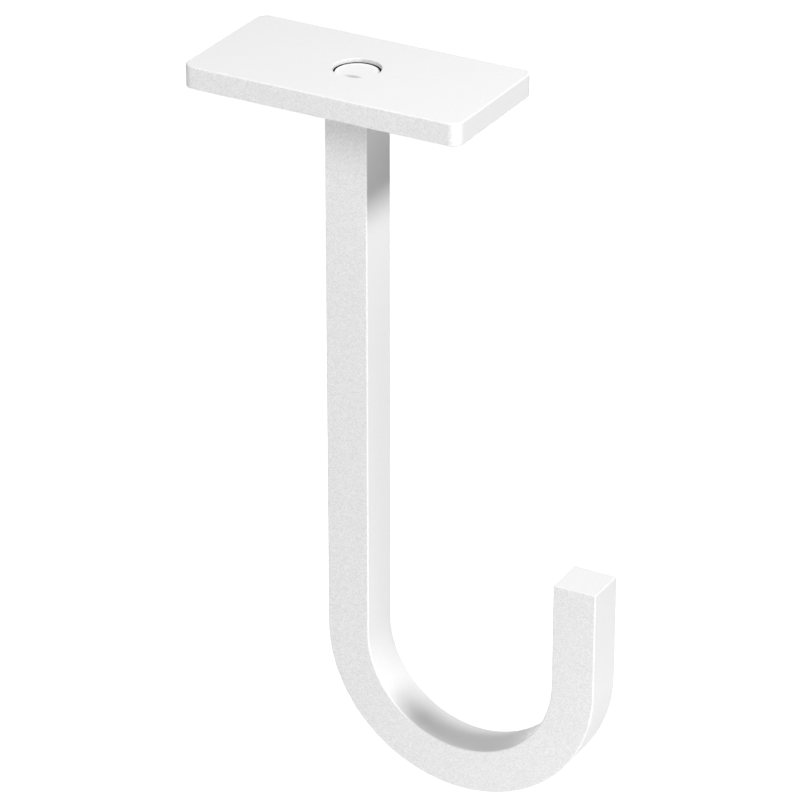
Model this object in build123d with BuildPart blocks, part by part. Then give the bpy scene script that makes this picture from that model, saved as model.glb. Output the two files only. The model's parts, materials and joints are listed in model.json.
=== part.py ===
"""Utility hook: a J bent from square bar, hung from a flat mounting plate.

The bar's top end is turned to a round tenon. The tenon stands in the plate's stepped centre
hole, and the bar's square shoulder bears on the plate's underside.

Frame, in millimetres: the origin is the centre of the plate's top face, +Z is up, +X runs
along the plate towards the hook's tip, and the hook is the same in front and behind (Y).
"""
import os

from build123d import *

# Mounting plate
plate_length = 65.0
plate_width = 32.5
plate_thickness = 5.0
plate_corner_radius = 2.5
plate_edge_radius = 0.3

# Bent bar
bar_side = 10.0
bar_edge_radius = 0.3
bend_inner_radius = 22.5
overall_height = 163.0  # from the plate's top to the underside of the bend
tip_height = 57.0  # from the underside of the bend to the end of the tip
tip_edge_radius = 0.4

# Tenon of the bar and the plate's centre hole
tenon_diameter = 9.5
tenon_setback = 0.85  # the tenon's end lies this far below the plate's top
tenon_edge_break = 0.15
bore_clearance = 0.05  # radial, between the tenon and the lower bore
recess_gap = 0.4  # radial, the open ring round the tenon's end
recess_depth = 3.0  # from the plate's top to the step in the hole
recess_edge_break = 0.1

# Worked out from the sizes above
plate_underside = -plate_thickness
bend_radius = bend_inner_radius + bar_side / 2
bend_centre_height = -overall_height + bar_side / 2 + bend_radius
tip_end_height = -overall_height + tip_height
tenon_radius = tenon_diameter / 2

os.makedirs("parts", exist_ok=True)

# Plate: rounded outline, softened edges, stepped centre hole
with BuildPart() as mounting_plate:
    with BuildSketch(Plane.XY):
        RectangleRounded(plate_length, plate_width, plate_corner_radius)
    extrude(amount=-plate_thickness)
    outline_edges = mounting_plate.edges().filter_by(Axis.Z, reverse=True)
    fillet(outline_edges, radius=plate_edge_radius)
    CounterBoreHole(
        radius=tenon_radius + bore_clearance,
        counter_bore_radius=tenon_radius + recess_gap,
        counter_bore_depth=recess_depth,
        depth=plate_thickness,
    )
    top_circles = mounting_plate.edges().filter_by(GeomType.CIRCLE).group_by(Axis.Z)[-1]
    recess_rim = top_circles.sort_by(SortBy.RADIUS)[-1]
    chamfer(recess_rim, length=recess_edge_break)
mounting_plate.part.label = "mounting_plate"
export_step(mounting_plate.part, "parts/mounting_plate.step")

# Hook: square bar swept down the stem, round the bend and up the tip, then the tenon
with BuildPart() as hook_bar:
    with BuildLine(Plane.XZ):
        stem = Line((0, plate_underside), (0, bend_centre_height))
        bend = JernArc(start=stem @ 1, tangent=stem % 1, radius=bend_radius, arc_size=180)
        tip = Line(bend @ 1, (2 * bend_radius, tip_end_height))
    with BuildSketch(Plane.XY.offset(plate_underside)):
        Rectangle(bar_side, bar_side)
    sweep()
    end_face = hook_bar.faces().filter_by(Axis.Z).sort_by(Axis.X)[-1]
    shoulder_face = hook_bar.faces().filter_by(Axis.Z).sort_by(Axis.X)[0]
    long_edges = hook_bar.edges() - end_face.edges() - shoulder_face.edges()
    long_edges = long_edges.filter_by(Axis.Y, reverse=True)
    fillet(long_edges, radius=bar_edge_radius)
    end_face = hook_bar.faces().filter_by(Axis.Z).sort_by(Axis.X)[-1]
    fillet(end_face.edges(), radius=tip_edge_radius)
    with BuildSketch(Plane.XY.offset(plate_underside)):
        Circle(tenon_radius)
    extrude(amount=plate_thickness - tenon_setback)
    tenon_rim = hook_bar.edges().filter_by(GeomType.CIRCLE).sort_by(Axis.Z)[-1]
    chamfer(tenon_rim, length=tenon_edge_break)
hook_bar.part.label = "hook_bar"
export_step(hook_bar.part, "parts/hook_bar.step")
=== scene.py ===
"""Utility hook: the white-coated looks of a J bent from square bar under a flat mounting plate.

Lengths are in metres, in the part's own frame: the origin is the centre of the plate's top, +Z is
up, and +X runs along the plate towards the hook's tip.
"""
import json
import math

import bmesh
import bpy
from bpy.props import FloatProperty, FloatVectorProperty, PointerProperty
from mathutils import Matrix, Vector


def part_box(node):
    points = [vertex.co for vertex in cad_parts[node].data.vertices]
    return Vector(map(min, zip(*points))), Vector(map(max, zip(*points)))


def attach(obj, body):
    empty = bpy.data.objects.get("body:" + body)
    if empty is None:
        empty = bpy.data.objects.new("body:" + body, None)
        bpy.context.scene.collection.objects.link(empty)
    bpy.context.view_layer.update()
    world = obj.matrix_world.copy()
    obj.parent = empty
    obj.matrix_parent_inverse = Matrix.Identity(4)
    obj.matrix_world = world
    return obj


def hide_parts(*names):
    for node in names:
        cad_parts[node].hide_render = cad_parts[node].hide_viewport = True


bl_info = {
    "name": "Utility Hook",
    "version": (1, 0, 0),
    "blender": (4, 5, 0),
    "location": "View3D > Sidebar > Utility Hook",
    "description": "Builds a coated utility hook and the studio around it",
    "category": "Add Mesh",
}

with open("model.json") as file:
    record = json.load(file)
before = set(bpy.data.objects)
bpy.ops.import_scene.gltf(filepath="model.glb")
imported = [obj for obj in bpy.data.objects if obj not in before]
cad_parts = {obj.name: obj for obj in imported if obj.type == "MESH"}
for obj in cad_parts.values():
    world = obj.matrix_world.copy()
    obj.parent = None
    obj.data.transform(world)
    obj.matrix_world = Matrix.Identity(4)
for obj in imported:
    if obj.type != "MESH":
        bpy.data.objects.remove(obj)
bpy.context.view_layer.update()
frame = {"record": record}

COAT_SLOT = "white_coat"
BODY = "root"
WHITE = (1.0, 1.0, 1.0)

# Meshes
SAME_PLACE = 1e-6  # nearer than this, two places are one
SHARP_ANGLE = math.radians(35)  # a steeper edge between two faces shows as a crease
CORNER_ANGLE = math.radians(60)  # a steeper edge is a corner of the bar's square section
EDGE_STEPS = 4  # flats round a softened edge

# Painted shadow on the tenon's end, by the hole's front rim
PAINTED_SHADOW_PLACE = (0.0009, -0.0027, 0.0)
PAINTED_SHADOW_HALF = (0.0031, 0.00115, 1.0)  # half its length along the plate and half its width
PAINTED_SHADOW_CORE = 0.2  # share of the painted shadow, from its middle, that is dark in full

# The photograph's camera
CAMERA_AIM = Vector((0.01187, -0.00315, -0.07239))
CAMERA_AZIMUTH = 29.2355 - 90  # degrees, to the right of straight in front
CAMERA_ELEVATION = 27.03  # degrees
CAMERA_DISTANCE = 0.90904
CAMERA_LENS = 193.14  # millimetres, for the sensor below
CAMERA_SENSOR = 36.0  # millimetres

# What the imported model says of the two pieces
plate_low, plate_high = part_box("mounting_plate")
plate_size = plate_high - plate_low
bar_low, bar_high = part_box("hook_bar")
bar_size = bar_high - bar_low
coat = next(entry for entry in frame["record"]["materials"] if entry["slot"] == COAT_SLOT)


def length_value(name, description, default):
    """A length that a user can change, in metres."""
    return FloatProperty(name=name, description=description, default=default, min=0.0, precision=5,
                         unit="LENGTH")


def share_value(name, description, default):
    """A part of a whole that a user can change, from 0 to 1."""
    return FloatProperty(name=name, description=description, default=default, min=0.0, max=1.0,
                         subtype="FACTOR")


def power_value(name, description, default):
    """A lamp's power that a user can change, in watts."""
    return FloatProperty(name=name, description=description, default=default, min=0.0, unit="POWER")


def colour_value(name, description, default):
    """A colour that a user can change."""
    return FloatVectorProperty(name=name, description=description, default=default, min=0.0, max=1.0,
                               size=3, subtype="COLOR")


class PlateSizes(bpy.types.PropertyGroup):
    """Sizes of the mounting plate and of the stepped hole in it."""
    length: length_value("Length", "Along the plate, towards the hook's tip", plate_size.x)
    width: length_value("Width", "Across the plate", plate_size.y)
    thickness: length_value("Thickness", "From the plate's top to its underside", plate_size.z)
    corner_radius: length_value("Corner radius", "Of the plate's four upright corners", 0.0025)
    edge_radius: length_value("Edge radius", "Of the plate's softened outline edges", 0.0003)
    recess_radius: length_value("Recess radius", "Of the wide upper part of the hole", 0.00515)
    recess_depth: length_value("Recess depth", "From the plate's top to the step in the hole", 0.003)
    recess_break: length_value("Recess edge break", "Of the hole's rim", 0.0001)
    bore_radius: length_value("Bore radius", "Of the narrow lower part of the hole", 0.0048)


class BarSizes(bpy.types.PropertyGroup):
    """Sizes of the bent square bar and of its tenon."""
    side: length_value("Side", "Of the bar's square section", bar_size.y)
    bend_inner_radius: length_value("Bend inner radius", "Of the bend's inner face",
                                    bar_size.x / 2 - bar_size.y)
    tip_height: length_value("Tip height", "From the underside of the bend to the tip's end", 0.057)
    edge_radius: length_value("Edge radius", "Of the bar's long edges and the tip's end", 0.0003)
    tenon_radius: length_value("Tenon radius", "Of the round end that stands in the plate", 0.00475)
    tenon_break: length_value("Tenon edge break", "Of the rim of the tenon's end", 0.00015)


class CoatFinish(bpy.types.PropertyGroup):
    """Colour and surface of the white coat, with the colours of the painted shade in the hole and the
    painted shadow on the tenon.
    """
    colour: colour_value("Colour", "Of the coat", coat["base_color"])
    # The painted shade's colour: near black in the ring gap, and mixed in a little on the hole's wall
    painted_shade_colour: colour_value("Painted shade colour", "Of the painted shade in the ring gap and on the hole's wall", (0.035, 0.035, 0.037))
    # The painted shadow's colour, on the tenon's end
    painted_shadow_colour: colour_value("Painted shadow colour", "Of the painted shadow on the tenon's end", (0.54, 0.54, 0.55))
    roughness: share_value("Roughness", "Of the matt surface", 0.6)
    roughness_swing: share_value("Roughness swing", "How far the grains differ in roughness", 0.2)
    shine: share_value("Shine", "How strongly the surface reflects", 0.2)
    speckle: share_value("Speckle", "How far the grains differ in tone", 0.1)
    side_speckle: share_value("Side speckle",
                              "How much of the grain shows on faces other than front and back", 0.2)
    # How much of the painted shade darkens the hole's wall
    painted_wall_shade: share_value("Wall shade", "How much painted shade darkens the hole's wall", 0.1)
    grain_size: length_value("Grain size", "Across one grain of the coat", 0.0002)
    grain_depth: length_value("Grain depth", "Between the grain's tops and hollows", 0.00002)
    ripple_size: length_value("Ripple size", "Across one ripple of the flowed coat", 0.0018)
    ripple_depth: length_value("Ripple depth", "Between the ripples' tops and hollows", 0.00001)


class Studio(bpy.types.PropertyGroup):
    """The stage around the hook."""
    floor_drop: length_value("Floor drop", "From the plate's top down to the floor", 0.2)
    floor_radius: length_value("Floor radius", "Of the round floor", 8.0)
    full_shadow_radius: length_value("Full shadow radius",
                                     "Round the hook, where the floor keeps its shadow in full", 0.3)
    shadow_radius: length_value("Shadow radius", "Round the hook, where the shadow has faded out", 0.9)
    lamp_distance: length_value("Lamp distance", "From the hook to every lamp but the near one", 1.0)
    near_distance: length_value("Near distance", "From the hook to the near lamp", 0.22)
    key_power: power_value("Key power", "Of the small lamp, high on the right", 7.8)
    side_power: power_value("Side power", "Of the lamp in front on the right", 0.6)
    high_power: power_value("High power", "Of the lamp high in front", 5.5)
    low_power: power_value("Low power", "Of the large lamp low in front", 7.8)
    near_power: power_value("Near power", "Of the small lamp near the hook, low on the right", 0.11)
    back_power: power_value("Back power", "Of the lamp low behind, on the left", 9.5)
    front_tint: colour_value("Front tint", "Of the large lamp low in front", (1.0, 0.985, 0.992))


def rgba(colour):
    """A colour with full alpha, as a colour socket takes it."""
    return (*colour, 1.0)


class Shade:
    """A shader socket. Arithmetic on it adds Math nodes to its tree."""
    MIX_FIRST, MIX_SECOND, MIX_RESULT = 6, 7, 2  # places of the Mix node's colour sockets

    def __init__(self, tree, socket=None):
        self.tree = tree
        self.socket = socket

    def node(self, kind, settings=None, inputs=None, output=0):
        """Add a node: its settings first, then the values or links of its sockets."""
        made = self.tree.nodes.new(kind)
        for name, value in (settings or {}).items():
            setattr(made, name, value)
        for name, value in (inputs or {}).items():
            if isinstance(value, Shade):
                self.tree.links.new(value.socket, made.inputs[name])
            else:
                made.inputs[name].default_value = value
        return Shade(self.tree, made.outputs[output] if made.outputs else None)

    def math(self, operation, first, second):
        """Work out a value from two others."""
        return self.node("ShaderNodeMath", {"operation": operation}, {0: first, 1: second})

    def vector(self, operation, first, second):
        """Work out a vector from two others."""
        return self.node("ShaderNodeVectorMath", {"operation": operation}, {0: first, 1: second})

    def size(self, vector):
        """The length of a vector."""
        return self.node("ShaderNodeVectorMath", {"operation": "LENGTH"}, {0: vector}, output="Value")

    def along(self, axis, vector):
        """One of the three values of a vector."""
        return self.node("ShaderNodeSeparateXYZ", {}, {"Vector": vector}, output=axis)

    def mix(self, first, second, factor):
        """Blend two colours, each a socket or a plain colour."""
        first = first if isinstance(first, Shade) else rgba(first)
        second = second if isinstance(second, Shade) else rgba(second)
        return self.node("ShaderNodeMix", {"data_type": "RGBA"}, {
            "Factor": factor, self.MIX_FIRST: first, self.MIX_SECOND: second}, output=self.MIX_RESULT)

    def __add__(self, other):
        return self.math("ADD", self, other)

    def __radd__(self, other):
        return self.math("ADD", other, self)

    def __sub__(self, other):
        return self.math("SUBTRACT", self, other)

    def __rsub__(self, other):
        return self.math("SUBTRACT", other, self)

    def __mul__(self, other):
        return self.math("MULTIPLY", self, other)

    def __rmul__(self, other):
        return self.math("MULTIPLY", other, self)


def empty_tree(owner):
    """The cleared node tree of a material or world, ready for new nodes."""
    owner.use_nodes = True
    owner.node_tree.nodes.clear()
    return Shade(owner.node_tree)


def white_coat(scene):
    """White powder coat, grainy in front and behind; painted shade in the hole, painted shadow on the
    tenon.
    """
    name = COAT_SLOT + "_finish"
    if name in bpy.data.materials:
        return bpy.data.materials[name]
    finish, plate, bar = scene.hook_coat, scene.hook_plate, scene.hook_bar
    material = bpy.data.materials.new(name)
    tree = empty_tree(material)
    place = tree.node("ShaderNodeTexCoord", output="Object")
    facing = tree.node("ShaderNodeTexCoord", output="Normal")

    # Powder grains: each has its own tone, and they show most on the front and back faces
    cells = {"Vector": place, "Scale": 1 / finish.grain_size}
    grain = tree.node("ShaderNodeTexVoronoi", {}, cells, output="Distance")
    tone = tree.node("ShaderNodeTexVoronoi", {}, cells, output="Color")
    tone = tree.node("ShaderNodeSeparateColor", {}, {"Color": tone}, output="Red")
    front = tree.along("Y", facing)
    shown = finish.side_speckle + (1 - finish.side_speckle) * (front * front)
    speckle = (tone - 0.5) * shown
    ripple = tree.node("ShaderNodeTexNoise", {}, {
        "Vector": place, "Scale": 1 / finish.ripple_size, "Detail": 1.0, "Roughness": 0.5})
    full = Vector(finish.colour)
    colour = tree.mix(full * (1 - finish.speckle), full * (1 + finish.speckle), speckle + 0.5)

    # Painted shade: the hole's wall is a little darker, and the ring gap is painted near black as shade
    depth = 0 - tree.along("Z", place)
    level = tree.vector("MULTIPLY", place, (1, 1, 0))
    across = tree.size(level)
    end_depth = -bar_high.z
    in_hole = (tree.math("GREATER_THAN", across, bar.tenon_radius - bar.tenon_break / 2)
               * tree.math("LESS_THAN", across, plate.recess_radius + plate.recess_break / 2)
               * tree.math("LESS_THAN", depth, plate.recess_depth + plate.recess_break))
    in_gap = tree.math("GREATER_THAN", depth, end_depth)
    painted_shade = in_hole * (finish.painted_wall_shade + (1 - finish.painted_wall_shade) * in_gap)
    colour = tree.mix(colour, finish.painted_shade_colour, painted_shade)

    # Painted shadow: a soft grey oval on the tenon's end, by the hole's front rim
    off_centre = tree.vector("SUBTRACT", level, PAINTED_SHADOW_PLACE)
    from_painted_shadow = tree.size(tree.vector("DIVIDE", off_centre, PAINTED_SHADOW_HALF))
    painted_shadow = tree.node("ShaderNodeMapRange", {"interpolation_type": "SMOOTHSTEP"}, {
        "Value": from_painted_shadow, "From Min": PAINTED_SHADOW_CORE, "From Max": 1.0, "To Min": 1.0, "To Max": 0.0})
    painted_shadow = painted_shadow * tree.math("LESS_THAN", depth, end_depth + bar.tenon_break)
    colour = tree.mix(colour, finish.painted_shadow_colour, painted_shadow)

    height = grain * finish.grain_depth * shown + ripple * finish.ripple_depth
    normal = tree.node("ShaderNodeBump", {}, {"Height": height, "Strength": 1.0, "Distance": 1.0})
    surface = tree.node("ShaderNodeBsdfPrincipled", {}, {
        "Base Color": colour, "Roughness": finish.roughness + speckle * finish.roughness_swing,
        "Specular IOR Level": finish.shine, "Normal": normal})
    tree.node("ShaderNodeOutputMaterial", {}, {"Surface": surface})
    return material


def only_verts(geometry):
    """The corners among what an operator returns."""
    return [item for item in geometry if isinstance(item, bmesh.types.BMVert)]


def only_faces(geometry):
    """The faces among what an operator returns."""
    return [item for item in geometry if isinstance(item, bmesh.types.BMFace)]


def with_rim(face):
    """A face with its edges and corners. With these, an extrusion takes the face along."""
    return [face, *face.edges, *face.verts]


def pull(bm, face, offset):
    """Extrude one face by an offset. The moved face is returned."""
    pulled = bmesh.ops.extrude_face_region(bm, geom=with_rim(face))["geom"]
    bmesh.ops.translate(bm, vec=offset, verts=only_verts(pulled))
    return only_faces(pulled)[0]


def round_edges(bm, edges, radius, steps):
    """Round edges off with a bevel of that radius."""
    bmesh.ops.bevel(bm, geom=edges, offset=radius, offset_type="OFFSET", segments=steps, profile=0.5,
                    affect="EDGES", material=-1, loop_slide=True)


def open_rims(bm, height):
    """The open edges of a shell that lie level at a height."""
    return [edge for edge in bm.edges if edge.is_boundary
            and all(abs(vert.co.z - height) < SAME_PLACE for vert in edge.verts)]


def coated_piece(bm, name, node):
    """Turn a finished shell into the piece that shows in place of a CAD node."""
    bmesh.ops.remove_doubles(bm, verts=bm.verts, dist=SAME_PLACE)
    bmesh.ops.recalc_face_normals(bm, faces=bm.faces)
    if any(not edge.is_manifold for edge in bm.edges):
        raise RuntimeError(f"{name} isn't closed")
    mesh = bpy.data.meshes.new(name)
    bm.to_mesh(mesh)
    bm.free()
    mesh.shade_smooth()
    mesh.set_sharp_from_angle(angle=SHARP_ANGLE)
    piece = bpy.data.objects.new(name, mesh)
    bpy.context.scene.collection.objects.link(piece)
    piece.data.materials.append(white_coat(bpy.context.scene))
    flat_normals = piece.modifiers.new("Flat faces stay flat", "WEIGHTED_NORMAL")
    flat_normals.keep_sharp = True
    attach(piece, BODY)
    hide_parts(node)


def build_plate(plate):
    """The plate: a rounded slab, open where the stepped hole's wall is joined to it."""
    corner_steps = 12
    hole_steps = 96
    bm = bmesh.new()
    outline = bmesh.ops.create_grid(bm, x_segments=1, y_segments=1, size=0.5)["verts"]
    bmesh.ops.scale(bm, vec=(plate.length, plate.width, 1), verts=outline)
    bmesh.ops.bevel(bm, geom=outline, offset=plate.corner_radius, offset_type="OFFSET",
                    segments=corner_steps, profile=0.5, affect="VERTICES", material=-1)
    pull(bm, next(iter(bm.faces)), (0, 0, -plate.thickness))
    level = [edge for edge in bm.edges
             if abs(edge.verts[0].co.z - edge.verts[1].co.z) < SAME_PLACE]
    round_edges(bm, level, plate.edge_radius, EDGE_STEPS)

    # Both caps make way for the hole: its wall is spun, and each cap is filled again round it
    caps = [face for face in bm.faces if len(face.verts) > 4]
    bmesh.ops.delete(bm, geom=caps, context="FACES_ONLY")
    rim = plate.recess_radius + plate.recess_break
    wall = [bm.verts.new((radius, 0, height)) for radius, height in (
        (rim, 0),
        (plate.recess_radius, -plate.recess_break),
        (plate.recess_radius, -plate.recess_depth),
        (plate.bore_radius, -plate.recess_depth),
        (plate.bore_radius, -plate.thickness),
    )]
    profile = [bm.edges.new(pair) for pair in zip(wall, wall[1:])]
    bmesh.ops.spin(bm, geom=wall + profile, cent=(0, 0, 0), axis=(0, 0, 1), dvec=(0, 0, 0),
                   angle=math.tau, steps=hole_steps, use_merge=True)
    for height in (0, -plate.thickness):
        bmesh.ops.triangle_fill(bm, edges=open_rims(bm, height), use_beauty=True, normal=(0, 0, 1))
    coated_piece(bm, "coated_plate", "mounting_plate")


def build_bar(bar):
    """The bar: a square pulled down the stem, spun round the bend and pulled up the tip."""
    bend_steps = 96
    shoulder_cuts = 7
    rim_steps = 2
    shoulder = plate_low.z
    bend_radius = bar.bend_inner_radius + bar.side / 2
    bend_height = bar_low.z + bar.side / 2 + bend_radius
    bm = bmesh.new()
    bmesh.ops.create_grid(bm, x_segments=1, y_segments=1, size=bar.side / 2,
                          matrix=Matrix.Translation((0, 0, shoulder)))
    end = pull(bm, next(iter(bm.faces)), (0, 0, bend_height - shoulder))
    spun = bmesh.ops.spin(bm, geom=with_rim(end), cent=(bend_radius, 0, bend_height),
                          axis=(0, -1, 0), dvec=(0, 0, 0), angle=math.pi, steps=bend_steps,
                          use_merge=False)
    end = only_faces(spun["geom_last"])[0]
    pull(bm, end, (0, 0, bar_low.z + bar.tip_height - bend_height))
    corners = [edge for edge in bm.edges if edge.calc_face_angle(0) > CORNER_ANGLE
               and any(vert.co.z < shoulder - SAME_PLACE for vert in edge.verts)]
    round_edges(bm, corners, bar.edge_radius, EDGE_STEPS)

    # The square shoulder is opened, and its rim is bridged to the foot of the round tenon
    seat = max(bm.faces, key=lambda face: face.calc_center_median().z)
    sides = [edge for edge in seat.edges if edge.calc_length() > bar.side / 2]
    bmesh.ops.delete(bm, geom=[seat], context="FACES_ONLY")
    bmesh.ops.subdivide_edges(bm, edges=sides, cuts=shoulder_cuts)
    around = len(open_rims(bm, shoulder))
    bmesh.ops.create_circle(bm, cap_ends=True, segments=around, radius=bar.tenon_radius,
                            matrix=Matrix.Translation((0, 0, shoulder)))
    disc = next(face for face in bm.faces if len(face.verts) == around)
    disc = pull(bm, disc, (0, 0, bar_high.z - shoulder))
    round_edges(bm, list(disc.edges), bar.tenon_break, rim_steps)
    hidden = [face for face in bm.faces if len(face.verts) == around
              and abs(face.calc_center_median().z - shoulder) < SAME_PLACE]
    bmesh.ops.delete(bm, geom=hidden, context="FACES_ONLY")
    bmesh.ops.bridge_loops(bm, edges=open_rims(bm, shoulder))
    coated_piece(bm, "coated_bar", "hook_bar")


def direction(azimuth, elevation):
    """The unit vector towards an azimuth, counted from +X to +Y, and an elevation, in degrees."""
    turn = math.radians(azimuth)
    rise = math.radians(elevation)
    return Vector((math.cos(turn) * math.cos(rise), math.sin(turn) * math.cos(rise), math.sin(rise)))


def place_facing(thing, place, target):
    """Put a lamp or camera at a place and turn it to a target."""
    bpy.context.scene.collection.objects.link(thing)
    thing.location = place
    thing.rotation_euler = (target - place).to_track_quat("-Z", "Y").to_euler()


def softbox(name, azimuth, elevation, distance, radius, watts, tint=WHITE):
    """A round soft lamp that shines at the middle of the hook."""
    lamp = bpy.data.lights.new(name, "AREA")
    lamp.shape = "DISK"
    lamp.size = 2 * radius
    lamp.energy = watts
    lamp.color = tint
    thing = bpy.data.objects.new(name, lamp)
    thing.visible_camera = False
    middle = Vector((bar_size.x / 4, 0, bar_low.z / 2))
    place_facing(thing, middle + direction(azimuth, elevation) * distance, middle)


def build_lamps(studio):
    """Three lamps from above and three from below, whose light comes through the floor."""
    far = studio.lamp_distance
    near = studio.near_distance
    softbox("key_lamp", azimuth=3, elevation=45, distance=far, radius=0.1, watts=studio.key_power)
    softbox("side_lamp", azimuth=-50, elevation=35, distance=far, radius=0.3, watts=studio.side_power)
    softbox("high_lamp", azimuth=-90, elevation=50, distance=far, radius=0.3, watts=studio.high_power)
    softbox("low_lamp", azimuth=-74, elevation=-34, distance=far, radius=0.6, watts=studio.low_power,
            tint=studio.front_tint)
    softbox("near_lamp", azimuth=-15, elevation=-45, distance=near, radius=0.05, watts=studio.near_power)
    softbox("back_lamp", azimuth=115, elevation=-24, distance=far, radius=0.3, watts=studio.back_power)


def seen_directly(tree):
    """1 for rays from the camera, a mirror or a glass, and 0 for the rest."""
    camera = tree.node("ShaderNodeLightPath", output="Is Camera Ray")
    glossy = tree.node("ShaderNodeLightPath", output="Is Glossy Ray")
    through = tree.node("ShaderNodeLightPath", output="Is Transmission Ray")
    return tree.math("MAXIMUM", tree.math("MAXIMUM", camera, glossy), through)


def pale_floor(studio):
    """The floor's surface: it shows white, keeps a shadow and lets the low lamps shine through."""
    shadowed_grey = (0.7, 0.7, 0.7)
    near_glow = (0.64, 0.64, 0.64)  # the lamps' own light on the floor makes up the rest of white
    material = bpy.data.materials.new("pale_floor")
    tree = empty_tree(material)
    place = tree.node("ShaderNodeTexCoord", output="Object")
    away = tree.size(tree.vector("MULTIPLY", place, (1, 1, 0)))
    faded = tree.node("ShaderNodeMapRange", {}, {
        "Value": away, "From Min": studio.full_shadow_radius, "From Max": studio.shadow_radius})
    glow_colour = tree.mix(near_glow, WHITE, faded)
    unseen = tree.node("ShaderNodeBsdfTransparent")
    shadowed = tree.node("ShaderNodeBsdfDiffuse", {}, {"Color": rgba(shadowed_grey)})
    glow = tree.node("ShaderNodeEmission", {}, {"Color": glow_colour, "Strength": 1.0})
    shown = tree.node("ShaderNodeAddShader", {}, {0: shadowed, 1: glow})
    surface = tree.node("ShaderNodeMixShader", {}, {0: seen_directly(tree), 1: unseen, 2: shown})
    tree.node("ShaderNodeOutputMaterial", {}, {"Surface": surface})
    return material


def build_floor(studio):
    """A plain round floor, a little under the hook's bend."""
    floor_steps = 96
    bm = bmesh.new()
    bmesh.ops.create_circle(bm, cap_ends=True, segments=floor_steps, radius=studio.floor_radius,
                            matrix=Matrix.Translation((0, 0, -studio.floor_drop)))
    mesh = bpy.data.meshes.new("floor")
    bm.to_mesh(mesh)
    bm.free()
    mesh.materials.append(pale_floor(studio))
    floor = bpy.data.objects.new("floor", mesh)
    bpy.context.scene.collection.objects.link(floor)


def build_world():
    """White where it is seen. The lamps give all the light."""
    world = bpy.data.worlds.new("studio")
    bpy.context.scene.world = world
    tree = empty_tree(world)
    dark = tree.node("ShaderNodeBackground", {}, {"Color": rgba(WHITE), "Strength": 0.0})
    bright = tree.node("ShaderNodeBackground", {}, {"Color": rgba(WHITE), "Strength": 1.0})
    surface = tree.node("ShaderNodeMixShader", {}, {0: seen_directly(tree), 1: dark, 2: bright})
    tree.node("ShaderNodeOutputWorld", {}, {"Surface": surface})


def build_camera():
    """The photograph's view: from the front, a little to the right and above."""
    camera = bpy.data.cameras.new("camera")
    camera.sensor_width = CAMERA_SENSOR
    camera.lens = CAMERA_LENS
    camera.clip_start = 0.05
    camera.clip_end = 40.0
    thing = bpy.data.objects.new("camera", camera)
    towards_camera = direction(CAMERA_AZIMUTH, CAMERA_ELEVATION)
    place_facing(thing, CAMERA_AIM + towards_camera * CAMERA_DISTANCE, CAMERA_AIM)
    bpy.context.scene.camera = thing


class HOOK_OT_plate(bpy.types.Operator):
    """Build the coated mounting plate"""
    bl_idname = "utility_hook.plate"
    bl_label = "Mounting Plate"

    def execute(self, context):
        build_plate(context.scene.hook_plate)
        return {"FINISHED"}


class HOOK_OT_bar(bpy.types.Operator):
    """Build the coated hook bar"""
    bl_idname = "utility_hook.bar"
    bl_label = "Hook Bar"

    def execute(self, context):
        build_bar(context.scene.hook_bar)
        return {"FINISHED"}


class HOOK_OT_stage(bpy.types.Operator):
    """Build the floor, the light and the camera"""
    bl_idname = "utility_hook.stage"
    bl_label = "Stage"

    def execute(self, context):
        studio = context.scene.hook_studio
        context.scene.view_settings.view_transform = "Standard"
        build_floor(studio)
        build_world()
        build_lamps(studio)
        build_camera()
        return {"FINISHED"}


class HOOK_PT_sidebar(bpy.types.Panel):
    """Lists the hook's sizes, its coat and the operators that build it"""
    bl_label = "Utility Hook"
    bl_space_type = "VIEW_3D"
    bl_region_type = "UI"
    bl_category = "Utility Hook"

    def draw(self, context):
        scene = context.scene
        for operator, sizes in (
            (HOOK_OT_plate, scene.hook_plate),
            (HOOK_OT_bar, scene.hook_bar),
            (HOOK_OT_stage, scene.hook_studio),
        ):
            box = self.layout.box()
            for name in sizes.__annotations__:
                box.prop(sizes, name)
            box.operator(operator.bl_idname)
        finish = self.layout.box()
        for name in scene.hook_coat.__annotations__:
            finish.prop(scene.hook_coat, name)


CLASSES = (PlateSizes, BarSizes, CoatFinish, Studio, HOOK_OT_plate, HOOK_OT_bar, HOOK_OT_stage,
           HOOK_PT_sidebar)


def register():
    """Add the classes to Blender, and the hook's settings to every scene."""
    for cls in CLASSES:
        bpy.utils.register_class(cls)
    bpy.types.Scene.hook_plate = PointerProperty(type=PlateSizes)
    bpy.types.Scene.hook_bar = PointerProperty(type=BarSizes)
    bpy.types.Scene.hook_coat = PointerProperty(type=CoatFinish)
    bpy.types.Scene.hook_studio = PointerProperty(type=Studio)


def unregister():
    """Take the settings and the classes out again."""
    del bpy.types.Scene.hook_studio
    del bpy.types.Scene.hook_coat
    del bpy.types.Scene.hook_bar
    del bpy.types.Scene.hook_plate
    for cls in reversed(CLASSES):
        bpy.utils.unregister_class(cls)


def main():
    """Build the hook and its stage."""
    register()
    bpy.ops.utility_hook.plate()
    bpy.ops.utility_hook.bar()
    bpy.ops.utility_hook.stage()


if __name__ == "__main__":
    main()
